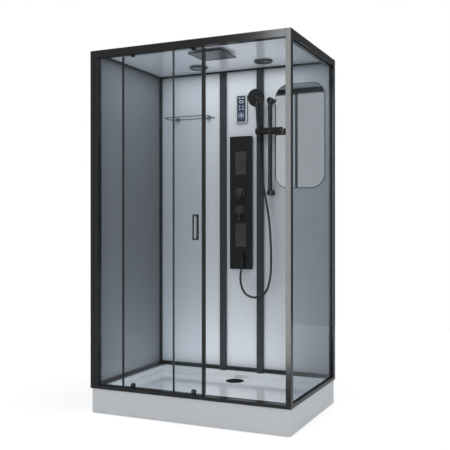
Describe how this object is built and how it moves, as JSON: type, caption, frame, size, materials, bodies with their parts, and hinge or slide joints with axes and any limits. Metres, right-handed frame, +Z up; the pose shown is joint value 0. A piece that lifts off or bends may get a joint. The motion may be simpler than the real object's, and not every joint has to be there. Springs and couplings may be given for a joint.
{
  "type": "shower cabin",
  "caption": "Rectangular shower cabin: tray, framed tinted glass, sliding door, back wall with massage jets and levers, hand shower on a rail, control unit, mirror, shelf and rain head.",
  "frame": {"origin": "centre of the footprint on the floor under the tray", "axes": "+X runs along the front to the right as one faces the cabin, +Y from the front to the back wall, +Z up"},
  "size_m": [1.2, 0.8, 2.05],
  "materials": {
    "tray_acrylic": "gloss white",
    "bearer_steel": "satin grey",
    "trap_plastic": "matt grey",
    "frame_black": "semi-gloss black",
    "glass_tinted": "clear, light grey tint",
    "glass_dark": "gloss dark grey lacquered glass",
    "panel_white": "gloss pale grey lacquered glass",
    "column_black": "gloss black",
    "roof_white": "satin white",
    "seal_rubber": "matt black",
    "roller_plastic": "matt",
    "steel_bright": "satin",
    "mirror": "polished",
    "panel_black": "satin black",
    "jet_rubber": "matt dark grey",
    "valve_brass": "raw",
    "fitting_black": "satin black",
    "hose_black": "satin black",
    "housing_pale": "satin pale grey",
    "control_black": "gloss black",
    "key_light": "satin pale grey",
    "lamp_grey": "satin grey"
  },
  "bodies": {
    "cabin": {"tray": "tray_acrylic", "tray_legs": "bearer_steel", "waste_trap": "trap_plastic", "post_front_left": "frame_black", "post_front_right": "frame_black", "posts_back": "frame_black", "top_rail_front": "frame_black", "top_rail_right": "frame_black", "top_rail_left": "frame_black", "top_rail_back": "frame_black", "sill_front": "frame_black", "sills_side": "frame_black", "sill_back": "frame_black", "wall_panel_left": "glass_dark", "side_glass": "glass_tinted", "front_glass_left": "glass_tinted", "front_glass_right": "glass_tinted", "glass_joiner": "frame_black", "glass_edge_profile": "frame_black", "back_panel_left": "panel_white", "back_panel_middle": "panel_white", "back_panel_right": "panel_white", "wall_columns": "column_black", "roof_panel": "roof_white", "post_seal": "seal_rubber", "mirror": "mirror", "shelf_glass": "glass_tinted", "shelf_brackets": "steel_bright", "massage_housing": "panel_black", "massage_jets": "jet_rubber", "valve_manifold": "valve_brass", "escutcheons": "fitting_black", "hose_elbow": "fitting_black", "shower_hose": "hose_black", "slide_rail": "fitting_black", "rail_mounts": "fitting_black", "control_housing": "housing_pale", "control_face": "control_black", "ceiling_fittings": "lamp_grey"},
    "door": {"door_glass": "glass_tinted", "door_seals": "seal_rubber", "door_handle": "fitting_black", "roller_brackets": "frame_black"},
    "roller_top_left": {"roller_top_left": "roller_plastic"},
    "roller_top_right": {"roller_top_right": "roller_plastic"},
    "roller_low_left": {"roller_low_left": "roller_plastic"},
    "roller_low_right": {"roller_low_right": "roller_plastic"},
    "lever_upper": {"lever_upper": "fitting_black"},
    "lever_lower": {"lever_lower": "fitting_black"},
    "slider": {"slider_body": "fitting_black"},
    "clamp_knob": {"clamp_knob": "fitting_black"},
    "holder": {"handset_holder": "fitting_black"},
    "hand_shower": {"hand_shower": "fitting_black"},
    "rain_head": {"rain_head": "steel_bright"},
    "drain_cover": {"drain_cover": "panel_black"},
    "key_1": {"key_1": "key_light"},
    "key_2": {"key_2": "key_light"},
    "key_3": {"key_3": "key_light"},
    "key_4": {"key_4": "key_light"}
  },
  "joints": [
    {"name": "door_slide", "type": "slide", "parent": "cabin", "child": "door", "axis": [1, 0, 0], "range_m": [0, 0.4525]},
    {"name": "roller_top_left_spin", "type": "hinge", "parent": "door", "child": "roller_top_left", "pos_m": [-0.336, -0.3695, 2.0213], "axis": [0, 1, 0], "range_deg": [-1, 2885.7]},
    {"name": "roller_low_left_spin", "type": "hinge", "parent": "door", "child": "roller_low_left", "pos_m": [-0.336, -0.3695, 0.1493], "axis": [0, 1, 0], "range_deg": [-1, 4326.1]},
    {"name": "roller_top_right_spin", "type": "hinge", "parent": "door", "child": "roller_top_right", "pos_m": [0.0415, -0.3695, 2.0213], "axis": [0, 1, 0], "range_deg": [-1, 2885.7]},
    {"name": "roller_low_right_spin", "type": "hinge", "parent": "door", "child": "roller_low_right", "pos_m": [0.0415, -0.3695, 0.1493], "axis": [0, 1, 0], "range_deg": [-1, 4326.1]},
    {"name": "lever_upper_turn", "type": "hinge", "parent": "cabin", "child": "lever_upper", "pos_m": [0, 0.34, 1.268], "axis": [0, 1, 0], "range_deg": [-90, 90]},
    {"name": "lever_lower_turn", "type": "hinge", "parent": "cabin", "child": "lever_lower", "pos_m": [0, 0.34, 1.16], "axis": [0, 1, 0], "range_deg": [-90, 90]},
    {"name": "slider_slide", "type": "slide", "parent": "cabin", "child": "slider", "axis": [0, 0, 1], "range_m": [-0.3, 0.1], "deforming": ["shower_hose"]},
    {"name": "clamp_turn", "type": "hinge", "parent": "slider", "child": "clamp_knob", "pos_m": [0.25, 0.345, 1.643], "axis": [1, 0, 0], "range_deg": [0, 90]},
    {"name": "holder_tilt", "type": "hinge", "parent": "slider", "child": "holder", "pos_m": [0.1317, 0.345, 1.643], "axis": [1, 0, 0], "range_deg": [-12, 6]},
    {"name": "handset_lift", "type": "slide", "parent": "holder", "child": "hand_shower", "axis": [0, -0.2079, 0.9781], "range_m": [0, 0.03]},
    {"name": "rain_head_tilt", "type": "hinge", "parent": "cabin", "child": "rain_head", "pos_m": [0.026, -0.105, 2.036], "axis": [1, 0, 0], "range_deg": [-4, 4]},
    {"name": "drain_cover_lift", "type": "slide", "parent": "cabin", "child": "drain_cover", "axis": [0, 0, 1], "range_m": [0, 0.03]},
    {"name": "key_1_press", "type": "slide", "parent": "cabin", "child": "key_1", "axis": [0, 1, 0], "range_m": [0, 0.001], "stiffness_N_per_m": 600},
    {"name": "key_2_press", "type": "slide", "parent": "cabin", "child": "key_2", "axis": [0, 1, 0], "range_m": [0, 0.001], "stiffness_N_per_m": 600},
    {"name": "key_3_press", "type": "slide", "parent": "cabin", "child": "key_3", "axis": [0, 1, 0], "range_m": [0, 0.001], "stiffness_N_per_m": 600},
    {"name": "key_4_press", "type": "slide", "parent": "cabin", "child": "key_4", "axis": [0, 1, 0], "range_m": [0, 0.001], "stiffness_N_per_m": 600}
  ],
  "couplings": [
    {"joint": "roller_top_left_spin", "follows": "door_slide", "rad_per_m": 111.11},
    {"joint": "roller_low_left_spin", "follows": "door_slide", "rad_per_m": 166.67},
    {"joint": "roller_top_right_spin", "follows": "door_slide", "rad_per_m": 111.11},
    {"joint": "roller_low_right_spin", "follows": "door_slide", "rad_per_m": 166.67}
  ]
}
